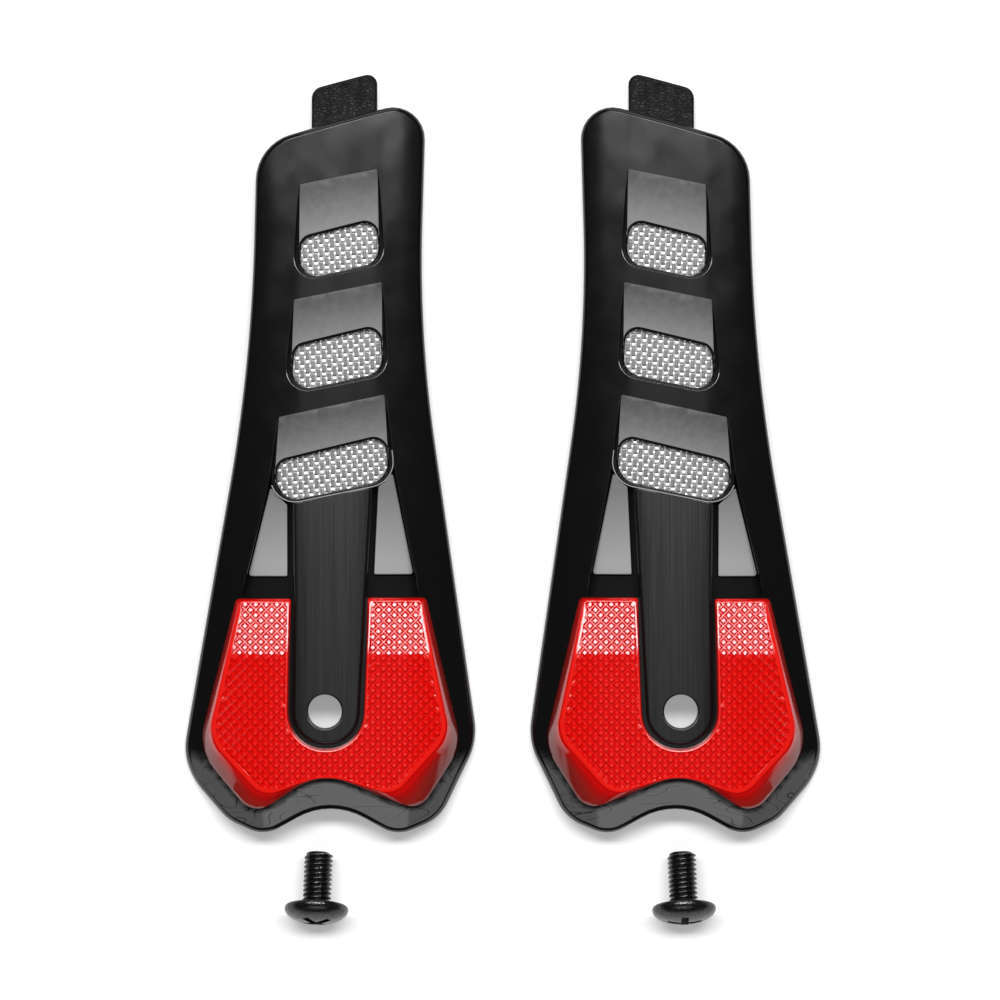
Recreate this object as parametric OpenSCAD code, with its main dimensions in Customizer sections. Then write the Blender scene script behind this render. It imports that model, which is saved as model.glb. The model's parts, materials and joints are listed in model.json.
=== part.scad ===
// A mirrored pair of vented boot guard panels, each with its fixing screw.
// Millimetres. +X runs across the pair, +Y up the panels, +Z up from the table they lie on.
// Each panel is drawn about its own screw hole, as the left-hand one, and the right one is its mirror image.

/* [Layout] */
// Distance between the two screw holes
hole_pitch = 74; // [70:1:110]
// How far the screws lie below their holes, measured to the thread end
screw_drop = 29.8; // [28:0.2:40]

/* [Plate] */
// Radius of the crown across the plate
crown_r = 60; // [56:1:70]
// Height of the crown's ridge above the table, level with the screw hole
ridge_z = 10.4; // [9.8:0.1:11.4]
// Angle at which the ridge falls towards the upper end
ridge_pitch = 2.37; // [1.8:0.1:2.6]
// Thickness of the moulded plate
plate_t = 2.2; // [1.6:0.1:2.4]
// Angle at which the lower flange falls away
flange_angle = 22; // [10:1:24]

/* [Vents] */
// Depth of each vent's floor at its lower end
vent_depth = 3.2; // [2.4:0.1:3.6]
// Thickness of the vent trays
tray_t = 1; // [0.7:0.1:1.2]
// Thickness of the woven mesh
mesh_t = 0.6; // [0.4:0.1:0.8]

/* [Strap and pad] */
// How far the strap stands above the plate
strap_rise = 0.7; // [0.3:0.1:1]
// Depth of the valley between the facets and the pad
valley_depth = 4; // [3:0.1:4.2]
// Height of the pad's ridge above the table
pad_z = 11.7; // [11.2:0.1:12.5]
// Radius of the pad's crown
pad_r = 110; // [90:5:200]
// Gap between the strap and the pad
strap_gap = 0.7; // [0.3:0.1:1]
// Diameter of the screw hole
hole_d = 7; // [6.4:0.1:8]

/* [Pull tab] */
// Width of the leather pull tab
tab_w = 13.7; // [10:0.1:15]
// Thickness of the leather
tab_t = 1.2; // [0.8:0.1:1.4]
// Length of the free flap beyond the plate
tab_free = 6.6; // [5:0.1:14]

/* [Screw] */
// Diameter of the thread
thread_d = 6; // [5:0.1:6.2]
// Length of the thread under the head
thread_l = 12; // [10:0.5:16]
// Diameter of the truss head
head_d = 13.4; // [12:0.1:14]
// Height of the truss head
head_h = 3.4; // [3:0.1:4]
// Angle between the screw and the panel on the table
screw_turn = 2; // [0:0.5:6]

/* [Hidden] */
$fn = 96;

plate_black = "#141414";
satin_grey = "#777777";
facet_grey = "#8c8c8c";
mesh_silver = "#c0c0c0";
strap_black = "#2c2c2c";
pad_red = "#d8100e";
leather_black = "#1c1c1c";
screw_black = "#202020";

arc_steps = 8;
tall = 16;
reach = 400;
ridge_x = 0.8;
vent_wall = 0.8;

// Corners are [x, y, fillet radius], listed clockwise or anticlockwise
plate_corners = [[-14.6, 118, 10], [20.6, 127.5, 7], [19.5, 79, 270], [31.7, -6.5, 14], [23.9, -22.6, 9],
                 [14.8, -26.2, 7], [1.1, -18.4, 14], [-12.8, -26.2, 7], [-20.6, -22.8, 9],
                 [-30.5, -11.9, 13], [-15.7, 72.4, 350]];
vents = [[[-5.4, 109.9], [10.8, 113.2], [12.1, 93.4], [-6.7, 89.4]],
         [[-6.6, 85.8], [11.7, 89.5], [12.8, 70.3], [-8.4, 66]],
         [[-9.7, 61.3], [12.3, 66], [14.3, 47.9], [-12.1, 42.5]]];
slot_height = [9.2, 10, 9.4];
vent_radius = [4.2, 4.2, 5];
slot_top_r = 3;
slot_ledge = 0.2;
tray_end = 23.6;
tray_corners = [[-12.6, 49.8, 0], [14.9, 52.6, 0], [19.6, tray_end, 1.2], [-17.6, tray_end, 1.2]];
strap_corners = [[-6.9, 40, 0], [10.2, 44, 0], [9, 23, 20], [7.4, -7.4, 7.2], [-7.7, -7.4, 7.2], [-7.2, 23, 20]];
pad_corners = [[-18.7, 23.4, 1], [21, 23.6, 1], [28.4, -7.3, 9], [19.6, -20.9, 4.5], [-0.8, -12.5, 11.5],
               [-14.9, -21.8, 4.9], [-26.9, -8.1, 10]];
facet_end = 28;
lug_r = 5.5;

tab_x = 3.8;
tab_back = 112;
edge_angle = 15.1;
tab_edge = 123;
flap_gap = 0.85;

left_screw_x = -1.5;
right_screw_x = -0.4;
screw_tilt = atan((head_d - thread_d) / 2 / thread_l);
head_r = head_d / 2;
dome_r = (head_r * head_r + head_h * head_h) / (2 * head_h);
recess_w = 6;
recess_t = 1.3;
recess_depth = 2.6;

// Lowest and highest points of the layout decide where its middle lies
layout_low = -screw_drop - (thread_l + head_h - dome_r) * cos(screw_tilt) - dome_r;
layout_high = tab_edge + flap_gap + tab_free / cos(edge_angle) + tab_w / 2 * tan(edge_angle);
mid_y = (layout_low + layout_high) / 2;

function unit(v) = v / norm(v);

// Points of the arc that rounds corner b of the path a, b, c
function corner_arc(a, b, c) =
    b[2] == 0 ? [[b[0], b[1]]] :
    let (u = unit([a[0] - b[0], a[1] - b[1]]),
         v = unit([c[0] - b[0], c[1] - b[1]]),
         half = acos(u * v) / 2,
         run = b[2] / tan(half),
         mid = unit(u + v),
         o = [b[0], b[1]] + mid * b[2] / sin(half),
         p = [b[0], b[1]] + u * run - o,
         q = [b[0], b[1]] + v * run - o,
         start = atan2(p[1], p[0]),
         raw = atan2(q[1], q[0]) - start,
         sweep = raw > 180 ? raw - 360 : raw < -180 ? raw + 360 : raw)
    [for (k = [0 : arc_steps]) o + b[2] * [cos(start + sweep * k / arc_steps), sin(start + sweep * k / arc_steps)]];

function rounded(corners) =
    let (n = len(corners))
    [for (i = [0 : n - 1]) each corner_arc(corners[(i + n - 1) % n], corners[i], corners[(i + 1) % n])];

// Corners of a vent, drawn in by a margin on its sides and lower end
function vent_corners(i, margin) =
    let (v = vents[i], r = vent_radius[i] - margin)
    [[v[0][0] + margin, v[0][1] + (margin > 0 ? 1 : 0), 0], [v[1][0] - margin, v[1][1] + (margin > 0 ? 1 : 0), 0],
     [v[2][0] - margin, v[2][1] + margin, r], [v[3][0] + margin, v[3][1] + margin, r]];

// Point on the slanted side of a vent, at a height above its lower corner
function on_side(low, high, h) = low + (high - low) * h / (high[1] - low[1]);

// The rounded slot at a vent's lower end, grown by a margin
function slot_corners(i, margin) =
    let (v = vents[i], w = vent_wall, r = vent_radius[i] - w + margin,
         left = on_side(v[3], v[0], slot_height[i]), right = on_side(v[2], v[1], slot_height[i]))
    [[left[0] + w - margin, left[1] + margin, slot_top_r], [right[0] - w + margin, right[1] + margin, slot_top_r],
     [v[2][0] - w + margin, v[2][1] + w - margin, r], [v[3][0] + w - margin, v[3][1] + w - margin, r]];

// A prism from the table up, with a rounded outline
module prism(corners) {
    linear_extrude(height = tall) polygon(rounded(corners));
}

// All that lies under a crowned surface. It passes through height z at row y, slopes at an angle up towards +Y,
// and is moved along its normal by an offset.
module under(z, y, slope, offset, r = crown_r) {
    translate([ridge_x, y, z - r / cos(slope)])
        rotate([slope - 90, 0, 0])
            cylinder(r = r + offset, h = reach, center = true);
}

module under_plate(offset) {
    under(ridge_z, 0, -ridge_pitch, offset);
}

function ridge_at(y) = ridge_z - y * tan(ridge_pitch);

// The vent floors and the facets start flush with the plate and sink towards the lower end
module under_vent(i, offset) {
    top_y = (vents[i][0][1] + vents[i][1][1]) / 2;
    low_y = (vents[i][2][1] + vents[i][3][1]) / 2;
    fall = atan(vent_depth / (top_y - low_y)) - ridge_pitch;
    under(ridge_at(top_y), top_y, fall, offset);
}

module under_facets(offset) {
    facet_top = 47;
    facet_fall = 2.7;
    under(ridge_at(facet_top) - 0.3, facet_top, atan(facet_fall / (facet_top - facet_end)) - ridge_pitch, offset);
}

module under_flange(offset) {
    flange_y = -15.5;
    under(ridge_at(flange_y), flange_y, flange_angle, offset);
}

module rows_above(y) {
    translate([-50, y, 0]) cube([100, 200, tall]);
}

module rows_below(y) {
    translate([-50, y - 200, 0]) cube([100, 200, tall]);
}

module plate_skin(offset) {
    intersection() {
        under_plate(offset);
        under_flange(offset);
    }
}

module frame() {
    color(plate_black)
        difference() {
            intersection() {
                prism(plate_corners);
                plate_skin(0);
            }
            plate_skin(-plate_t);
            for (i = [0 : 2])
                prism(vent_corners(i, 0));
            prism(tray_corners);
            cylinder(r = lug_r, h = tall);
        }
}

module scoop(i) {
    color(satin_grey)
        difference() {
            intersection() {
                prism(vent_corners(i, 0));
                under_plate(0);
            }
            under_vent(i, -tray_t);
            difference() {
                prism(vent_corners(i, vent_wall));
                under_vent(i, 0);
            }
            prism(slot_corners(i, -slot_ledge));
        }
}

module vent_mesh(i) {
    color(mesh_silver)
        difference() {
            intersection() {
                prism(slot_corners(i, 0.6));
                under_vent(i, -tray_t);
            }
            under_vent(i, -tray_t - mesh_t);
        }
}

// Floor of the valley, with the two sunken facets that stand on it beside the strap
module facet_tray() {
    color(facet_grey)
        difference() {
            union() {
                intersection() {
                    prism(tray_corners);
                    under_plate(-valley_depth);
                }
                difference() {
                    intersection() {
                        prism(tray_corners);
                        rows_above(facet_end);
                        under_facets(0);
                    }
                    prism(strap_corners);
                }
            }
            under_plate(-valley_depth - tray_t);
            prism(vent_corners(2, 0));
        }
}

// The strap lies on the plate between the pad's legs
module strap_on_plate() {
    difference() {
        intersection() {
            prism(strap_corners);
            rows_below(tray_end);
            under_plate(strap_rise);
        }
        under_plate(0);
    }
}

// It goes on across the valley, between the facets
module strap_on_tray() {
    difference() {
        intersection() {
            prism(strap_corners);
            rows_above(tray_end);
            under_plate(strap_rise);
        }
        under_plate(-valley_depth);
        prism(vent_corners(2, 0));
    }
}

// A round lug under the strap keys it into the plate
module strap_lug() {
    difference() {
        intersection() {
            cylinder(r = lug_r, h = tall);
            under_plate(0);
        }
        under_plate(-plate_t);
    }
}

module strap() {
    color(strap_black)
        difference() {
            union() {
                strap_on_plate();
                strap_on_tray();
                strap_lug();
            }
            translate([0, 0, -1]) cylinder(d = hole_d, h = tall + 2);
        }
}

module strap_slot() {
    g = strap_gap;
    prism([[-7.2 - g, 30, 0], [9.4 + g, 30, 0], [9 + g, 23, 0], [7.4 + g, -7.4 - g, 7.2 + g],
           [-7.7 - g, -7.4 - g, 7.2 + g], [-7.2 - g, 23, 0]]);
}

module grip_pad() {
    color(pad_red)
        difference() {
            intersection() {
                prism(pad_corners);
                under(pad_z, 0, -ridge_pitch, 0, pad_r);
            }
            under_plate(0);
            strap_slot();
        }
}

// The leather lies against the plate's inner face. A turned block keeps what lies to one side of the plate's edge.
module leather(near, far) {
    color(leather_black)
        difference() {
            intersection() {
                translate([tab_x - tab_w / 2, tab_back, 0]) cube([tab_w, 30, tall]);
                under_plate(-plate_t);
                translate([tab_x, tab_edge + near, 0])
                    rotate([0, 0, edge_angle])
                        translate([-50, 0, 0])
                            cube([100, far - near, tall]);
            }
            under_plate(-plate_t - tab_t);
        }
}

module tab_anchor() {
    leather(-12, -0.5);
}

module pull_tab() {
    leather(flap_gap, flap_gap + tab_free);
}

module screw(x) {
    thread_r = thread_d / 2;
    color(screw_black)
        translate([x, -screw_drop, thread_r * cos(screw_tilt)])
            rotate([90 - screw_tilt, 0, -screw_turn])
                difference() {
                    union() {
                        cylinder(r = thread_r, h = thread_l);
                        translate([0, 0, thread_l])
                            intersection() {
                                cylinder(r = head_r, h = head_h);
                                translate([0, 0, head_h - dome_r]) sphere(r = dome_r);
                            }
                    }
                    for (turn = [0, 90])
                        rotate([0, 0, turn + 45])
                            translate([-recess_w / 2, -recess_t / 2, thread_l + head_h - recess_depth])
                                cube([recess_w, recess_t, recess_depth + 1]);
                }
}

module on_left() {
    translate([-hole_pitch / 2, -mid_y, 0]) children();
}

module on_right() {
    translate([hole_pitch / 2, -mid_y, 0]) mirror([1, 0, 0]) children();
}

on_left() frame();  // frame_left
on_left() scoop(0);  // upper_scoop_left
on_left() scoop(1);  // middle_scoop_left
on_left() scoop(2);  // lower_scoop_left
on_left() vent_mesh(0);  // upper_mesh_left
on_left() vent_mesh(1);  // middle_mesh_left
on_left() vent_mesh(2);  // lower_mesh_left
on_left() facet_tray();  // facet_tray_left
on_left() strap();  // strap_left
on_left() grip_pad();  // grip_pad_left
on_left() tab_anchor();  // tab_anchor_left
on_left() pull_tab();  // pull_tab_left
on_left() screw(left_screw_x);  // screw_left
on_right() frame();  // frame_right
on_right() scoop(0);  // upper_scoop_right
on_right() scoop(1);  // middle_scoop_right
on_right() scoop(2);  // lower_scoop_right
on_right() vent_mesh(0);  // upper_mesh_right
on_right() vent_mesh(1);  // middle_mesh_right
on_right() vent_mesh(2);  // lower_mesh_right
on_right() facet_tray();  // facet_tray_right
on_right() strap();  // strap_right
on_right() grip_pad();  // grip_pad_right
on_right() tab_anchor();  // tab_anchor_right
on_right() pull_tab();  // pull_tab_right
on_right() screw(right_screw_x);  // screw_right
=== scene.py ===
"""A mirrored pair of vented boot guard panels with their fixing screws, lying on a pale table.

Every piece is drawn for the left panel, in millimetres about the middle of its screw hole, and is carried to
its place at the end. The right panel's pieces are mirrored copies. A corner is (x, y, fillet radius).
"""
import functools
import json
import math

import bmesh
import bpy
from mathutils import Matrix, Vector, geometry


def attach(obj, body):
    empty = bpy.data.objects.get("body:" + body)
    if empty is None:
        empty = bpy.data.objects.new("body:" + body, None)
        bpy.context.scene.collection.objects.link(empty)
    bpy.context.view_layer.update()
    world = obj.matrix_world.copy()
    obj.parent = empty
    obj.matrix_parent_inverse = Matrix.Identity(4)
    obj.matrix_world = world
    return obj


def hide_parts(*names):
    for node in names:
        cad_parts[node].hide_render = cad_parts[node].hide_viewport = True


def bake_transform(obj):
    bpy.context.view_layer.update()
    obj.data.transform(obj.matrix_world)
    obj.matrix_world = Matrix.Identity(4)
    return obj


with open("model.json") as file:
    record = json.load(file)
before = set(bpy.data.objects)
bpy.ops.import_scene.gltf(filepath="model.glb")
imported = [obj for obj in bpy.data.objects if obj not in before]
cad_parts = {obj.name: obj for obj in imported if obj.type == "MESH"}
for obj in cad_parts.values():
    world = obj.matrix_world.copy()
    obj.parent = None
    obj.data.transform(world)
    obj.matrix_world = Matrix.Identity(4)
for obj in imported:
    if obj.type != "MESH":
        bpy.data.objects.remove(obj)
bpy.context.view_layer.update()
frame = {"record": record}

MM = 0.001
ARC_STEPS = 8
LONGEST_EDGE = 2.0
GRID_CELLS = range(-40, 100)
# The ring inside a rounded edge, which keeps the flat part's shading flat
FLAT_RING = 0.2
NORMAL_STEP = 0.05
MOUNTS = {m["name"]: m for m in frame["record"]["mounts"]}
HOLE = Vector(MOUNTS["screw_hole_left"]["pos_m"]) / MM
SIDES = ("left", "right")

# ---------------------------------------------------------------- shape of the panel

RIDGE_X = 0.8
RIDGE_Z = 10.4
RIDGE_FALL = math.tan(math.radians(2.37))
CROWN_R = 60.0
PLATE_T = 2.2
TABLE_GAP = 0.02
# Pieces that lie on each other are drawn this far apart, or this far into each other
FIT = 0.02
HOLE_R = 3.5

PLATE = [(-14.6, 118.4, 10), (20.9, 128.4, 6.5), (19.5, 79, 270), (31.7, -6.5, 14), (23.9, -22.6, 9),
         (14.8, -26.2, 7), (1.1, -18.4, 14), (-12.8, -26.2, 7), (-20.6, -22.8, 9),
         (-30.5, -11.9, 13), (-15.7, 72.4, 350)]
# Each vent's window: its two upper and two lower corners
VENTS = [[(-5.4, 109.9), (10.8, 113.2), (12.1, 93.4), (-6.7, 89.4)],
         [(-6.6, 85.8), (11.7, 89.5), (12.8, 70.3), (-8.4, 66)],
         [(-9.7, 61.3), (12.3, 66), (14.3, 47.9), (-12.1, 42.5)]]
VENT_NAMES = ("upper", "middle", "lower")
VENT_RADIUS = (4.2, 4.2, 5.0)
SLOT_HEIGHT = (9.2, 10.0, 9.4)
VENT_DEPTH = 3.2
VENT_SOFTNESS = 1.5
TRAY_T = 1.0
# The lowest vent and the facets share one window in the plate
LOWER_WINDOW = [(-9.7, 61.3, 0.4), (12.3, 66, 0.4), (13.9, 52, 1.5), (19.6, 23.6, 1.2), (-17.6, 23.6, 1.2),
                (-11.25, 49.5, 1.5)]
VALLEY_DEPTH = 4.0
FACETS = [[(-11.5, 46.6, 0.3), (-8.0, 42.9, 0.3), (-8.0, 28, 0.3), (-16.3, 28, 0.6)],
          [(14.0, 49.6, 0.3), (11.0, 46.6, 0.3), (10.1, 28.4, 0.3), (18.3, 28.4, 0.6)]]
FACET_TOP_Y = 47.0
FACET_FOOT_Y = 28.0
FACET_HEAD_DEPTH = 0.4
FACET_SINK = 2.6
STRAP = [(-6.8, 43.9, 0.4), (9.9, 47.3, 0.4), (8.5, 23, 20), (6.9, -6.9, 6.7), (-6.8, -6.9, 6.7),
         (-6.5, 23, 20)]
STRAP_RISE = 0.7
STRAP_SHOULDER = 0.35
STRAP_HALF = 8.5
# Above here the strap reaches down to the valley, and below it lies on the plate
STRAP_DEEP_Y = 23.7

PAD_BASE = [(-18.7, 23.4, 1.2), (-7.1, 23.4, 0.6), (-7.6, -7.7, 7.5), (7.7, -7.7, 7.5), (8.9, 23.6, 0.6),
            (21, 23.6, 1.2), (28.4, -7.3, 9), (19.6, -20.9, 4.5), (-0.8, -12.5, 11.5), (-14.9, -21.8, 4.9),
            (-26.9, -8.1, 10)]
PAD_TOP = [(-17.9, 23.0, 1.0), (-7.4, 23.0, 0.6), (-7.9, -8.0, 7.8), (8.0, -8.0, 7.8), (9.2, 23.2, 0.6),
           (20.2, 23.2, 1.0), (25.8, -4.9, 7), (14.4, -17.5, 5), (0.1, -12.9, 14), (-12.8, -17.8, 5),
           (-24.4, -5.6, 8)]
PAD_Z = 12.3
PAD_R = 110.0
PAD_CREASE_Y = 11.7
PAD_CREASE_FALL = math.tan(math.radians(7.8))
KNURL_PITCH = 1.57
KNURL_GROOVE = 0.46
KNURL_FLOOR = 0.05
KNURL_DEPTH = 0.42
KNURL_BORDER = (0.4, 0.95)


def corner_arcs(corners):
    """Each corner's fillet as (centre, first radius vector, sweep, radius)."""
    arcs = []
    for i, (x, y, r) in enumerate(corners):
        b = Vector((x, y))
        u = (Vector(corners[i - 1][:2]) - b).normalized()
        v = (Vector(corners[(i + 1) % len(corners)][:2]) - b).normalized()
        half = u.angle(v) / 2
        centre = b + (u + v).normalized() * (r / math.sin(half))
        first = b + u * (r / math.tan(half)) - centre
        last = b + v * (r / math.tan(half)) - centre
        arcs.append((centre, first, last.angle_signed(first), r))
    return arcs


def at(arc, share):
    centre, first, sweep, _ = arc
    return centre + Matrix.Rotation(sweep * share, 2) @ first


def rounded(corners, steps=ARC_STEPS, like=None):
    """The outline through these corners, each rounded by its fillet radius, in pieces short enough to follow
    the crown. Outlines made like another one have the same number of points."""
    arcs, guides = corner_arcs(corners), corner_arcs(like or corners)
    points = []
    for i, (arc, guide) in enumerate(zip(arcs, guides)):
        count = max(steps, math.ceil(abs(guide[2]) * guide[3] / LONGEST_EDGE))
        points += [at(arc, k / count) for k in range(count + 1)]
        after = (i + 1) % len(arcs)
        count = math.ceil((at(guides[after], 0) - at(guide, 1)).length / LONGEST_EDGE)
        points += [at(arc, 1).lerp(at(arcs[after], 0), k / count) for k in range(1, count)]
    return points


def area_of(loop):
    return sum(a.x * b.y - b.x * a.y for a, b in zip(loop, loop[1:] + loop[:1])) / 2


def inset(loop, distance):
    """The outline drawn in by a distance, or out where it is negative. It may differ from point to point."""
    side = math.copysign(1, area_of(loop))
    moved = []
    for i, p in enumerate(loop):
        d0 = (p - loop[i - 1]).normalized()
        d1 = (loop[(i + 1) % len(loop)] - p).normalized()
        n0 = Vector((-d0.y, d0.x)) * side
        n1 = Vector((-d1.y, d1.x)) * side
        mean = (n0 + n1).normalized()
        step = distance(p) if callable(distance) else distance
        moved.append(p + mean * (step / max(0.35, mean.dot(n0))))
    return moved


def circle(radius, steps=48):
    return [Vector((math.cos(a), math.sin(a))) * radius for a in (math.tau * k / steps for k in range(steps))]


def mixed(a, b, t):
    return [p.lerp(q, t) for p, q in zip(a, b)]


def crown_drop(x, radius=CROWN_R):
    across = x - RIDGE_X
    return radius - math.sqrt(radius * radius - across * across)


def plate_z(x, y):
    return RIDGE_Z - RIDGE_FALL * y - crown_drop(x)


def smoothstep(t):
    t = min(1.0, max(0.0, t))
    return t * t * (3 - 2 * t)


def distance_outside(loop, x, y):
    """How far a point lies outside an outline, and 0 inside it."""
    inside = False
    nearest = 1e9
    for a, b in zip(loop, loop[1:] + loop[:1]):
        if (a.y > y) != (b.y > y) and x < (b.x - a.x) * (y - a.y) / (b.y - a.y) + a.x:
            inside = not inside
        edge = b - a
        t = min(1.0, max(0.0, ((x - a.x) * edge.x + (y - a.y) * edge.y) / edge.length_squared))
        nearest = min(nearest, math.hypot(x - a.x - edge.x * t, y - a.y - edge.y * t))
    return 0.0 if inside else nearest


# The pad's foot without its slot
PAD_FOOT = rounded(PAD_BASE[:1] + PAD_BASE[5:])
FLANGE_SLOPE = math.tan(math.radians(24))
FLANGE_START_Y = -7.5
FLANGE_FULL_Y = -15.0
FLANGE_GAP = 0.2


@functools.lru_cache(maxsize=None)
def flange_fall(x, y):
    """The rim falls away outside the pad's foot, fully at the lower end and not at all higher up."""
    share = smoothstep((FLANGE_START_Y - y) / (FLANGE_START_Y - FLANGE_FULL_Y))
    if share == 0:
        return 0.0
    return share * FLANGE_SLOPE * max(0.0, distance_outside(PAD_FOOT, x, y) - FLANGE_GAP)


def frame_top(x, y):
    return plate_z(x, y) - flange_fall(x, y)


def frame_underside(x, y):
    return max(TABLE_GAP, frame_top(x, y) - PLATE_T)


def below_vent_edge(i, x, y):
    """How far a point lies below a vent's slanted upper edge."""
    (x0, y0), (x1, y1) = VENTS[i][:2]
    return y0 + (y1 - y0) * (x - x0) / (x1 - x0) - y


def vent_length(i):
    v = VENTS[i]
    return (v[0][1] + v[1][1] - v[2][1] - v[3][1]) / 2


def vent_z(i, x, y):
    """A vent's floor starts softly at its upper edge and sinks to its full depth."""
    run = max(0.0, below_vent_edge(i, x, y))
    full = math.hypot(vent_length(i), VENT_SOFTNESS) - VENT_SOFTNESS
    return plate_z(x, y) - VENT_DEPTH * (math.hypot(run, VENT_SOFTNESS) - VENT_SOFTNESS) / full


def facet_z(x, y):
    return plate_z(x, y) - FACET_HEAD_DEPTH - FACET_SINK * (FACET_TOP_Y - y) / (FACET_TOP_Y - FACET_FOOT_Y)


def pad_z(x, y):
    crease = PAD_CREASE_FALL * max(0.0, y - PAD_CREASE_Y)
    return PAD_Z - RIDGE_FALL * y - crown_drop(x, PAD_R) - crease


# ---------------------------------------------------------------- mesh building

def grid_cuts(cell):
    """Two families of cutting lines: a direction across the lines, and their places along it."""
    places = [cell * k for k in GRID_CELLS]
    return [(Vector((1, 0)), places), (Vector((0, 1)), places)]


def object_from(bm, name, materials):
    mesh = bpy.data.meshes.new(name)
    bm.to_mesh(mesh)
    bm.free()
    piece = bpy.data.objects.new(name, mesh)
    bpy.context.scene.collection.objects.link(piece)
    for m in materials:
        mesh.materials.append(m)
    return piece


def closed_tube(bm, rings):
    """Joins rings of vertices in turn, and closes both ends."""
    for r0, r1 in zip(rings, rings[1:]):
        for k in range(len(r0)):
            after = (k + 1) % len(r0)
            bm.faces.new((r0[k], r0[after], r1[after], r1[k]))
    bm.faces.new(rings[0][::-1])
    bm.faces.new(rings[-1])


def on_a_cut(edge, cuts):
    a, b = (v.co.to_2d() for v in edge.verts)
    for across, places in cuts:
        u = across.dot(a)
        if abs(u - across.dot(b)) < 1e-4:
            nearest = min(places, key=lambda p: abs(p - u))
            if abs(nearest - u) < 1e-3:
                return True
    return False


def chain_to(start, goal):
    """The boundary vertices from one to the next, which cuts may have put between them."""
    chain = [start]
    while chain[-1] is not goal:
        here = chain[-1]
        ahead = [e.other_vert(here) for e in here.link_edges if e.is_boundary]
        ahead = [v for v in ahead if v not in chain]
        wanted = (goal.co - here.co).normalized()
        chain.append(max(ahead, key=lambda v: (v.co - here.co).normalized().dot(wanted)))
    return chain


def crowned_sheet(name, outer, holes, top, bottom, materials, cuts=None, relief=None, band_material=0):
    """A closed sheet over an outline, with its surfaces given by height functions.

    outer and each hole are lists of (outline, drop below the top surface), from the free edge inwards to the
    sheet. The last outline of each bounds the middle, which is cut into small cells so that it can curve.
    """
    bm = bmesh.new()
    dropped = {}

    def ring(loop, drop):
        verts = [bm.verts.new((p.x, p.y, 0)) for p in loop]
        for v in verts:
            dropped[v] = drop(v.co.x, v.co.y) if callable(drop) else drop
        return verts

    rims = [list(outer)] + [list(h) for h in holes]
    inner = [ring(*rim[-1]) for rim in rims]
    edges = [bm.edges.new((a, b)) for loop in inner for a, b in zip(loop, loop[1:] + loop[:1])]
    bmesh.ops.triangle_fill(bm, use_beauty=True, edges=edges, normal=(0, 0, 1))
    cuts = cuts or grid_cuts(2.0)
    low = Vector((min(v.co.x for v in bm.verts), min(v.co.y for v in bm.verts)))
    high = Vector((max(v.co.x for v in bm.verts), max(v.co.y for v in bm.verts)))
    corners = [low, high, Vector((low.x, high.y)), Vector((high.x, low.y))]
    for across, places in cuts:
        reach = [across.dot(c) for c in corners]
        for p in places:
            if min(reach) < p < max(reach):
                bmesh.ops.bisect_plane(bm, geom=bm.verts[:] + bm.edges[:] + bm.faces[:], dist=1e-4,
                                       plane_co=(across * p).to_3d(), plane_no=across.to_3d())
    if relief:
        stray = [e for e in bm.edges if not e.is_boundary and not on_a_cut(e, cuts)]
        bmesh.ops.dissolve_edges(bm, edges=stray, use_verts=False)

    for v in bm.verts:
        if v in dropped:
            continue
        if v.is_boundary:
            dropped[v] = 0.0
        else:
            dropped[v] = relief(v.co.x, v.co.y) if relief else 0.0

    free_edges = []
    for rim, loop in zip(rims, inner):
        chains = [chain_to(a, b) for a, b in zip(loop, loop[1:] + loop[:1])]
        for depth in range(len(rim) - 2, -1, -1):
            free = ring(*rim[depth])
            for k, chain in enumerate(chains):
                face = bm.faces.new([free[k]] + chain + [free[(k + 1) % len(free)]])
                face.material_index = band_material
            chains = [[a, b] for a, b in zip(free, free[1:] + free[:1])]
        free_edges += [(c[j], c[j + 1]) for c in chains for j in range(len(c) - 1)]

    for v in bm.verts:
        v.co.z = top(v.co.x, v.co.y) - dropped[v]
    under = {}
    upper_faces = bm.faces[:]
    for v in bm.verts[:]:
        under[v] = bm.verts.new((v.co.x, v.co.y, min(bottom(v.co.x, v.co.y), v.co.z - 0.1)))
    for f in upper_faces:
        copy = bm.faces.new([under[v] for v in reversed(f.verts)])
        copy.material_index = f.material_index
    for a, b in free_edges:
        side = bm.faces.new((a, b, under[b], under[a]))
        side.material_index = band_material
    bmesh.ops.recalc_face_normals(bm, faces=bm.faces[:])
    return object_from(bm, name, materials)


def rounding(loop, radius, steps=4, inwards=1, share=None):
    """Outlines that round an edge over, from the free edge in. share(x, y) fades the rounding out."""
    rims = []
    for k in range(steps + 1):
        a = math.pi / 2 * k / steps
        drop = radius * (1 - math.sin(a))
        if share:
            rims.append((inset(loop, inwards * radius * (1 - math.cos(a))),
                         lambda x, y, d=drop: d * share(x, y)))
        else:
            rims.append((inset(loop, inwards * radius * (1 - math.cos(a))), drop))
    rims.append((inset(loop, inwards * (radius + FLAT_RING)), 0.0))
    return rims


def smooth(piece, angle=40):
    bpy.ops.object.select_all(action="DESELECT")
    bpy.context.view_layer.objects.active = piece
    piece.select_set(True)
    bpy.ops.object.shade_smooth_by_angle(angle=math.radians(angle))
    piece.select_set(False)


def polished(piece, height, hand):
    """Takes the shading of a crowned top from its height function, so that reflections run on smoothly."""
    mesh = piece.data
    spots = [(hand * v.co.x / MM - HOLE.x, v.co.y / MM - HOLE.y) for v in mesh.vertices]
    step = NORMAL_STEP
    normals = [(0.0, 0.0, 0.0)] * len(mesh.loops)
    for face in mesh.polygons:
        if face.normal.z > 0.5:
            for k in face.loop_indices:
                x, y = spots[mesh.loops[k].vertex_index]
                normal = Vector((hand * (height(x - step, y) - height(x + step, y)),
                                 height(x, y - step) - height(x, y + step), 2 * step))
                if normal.angle(face.normal) < math.radians(2.5):
                    normals[k] = normal.normalized()
    mesh.normals_split_custom_set(normals)


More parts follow.
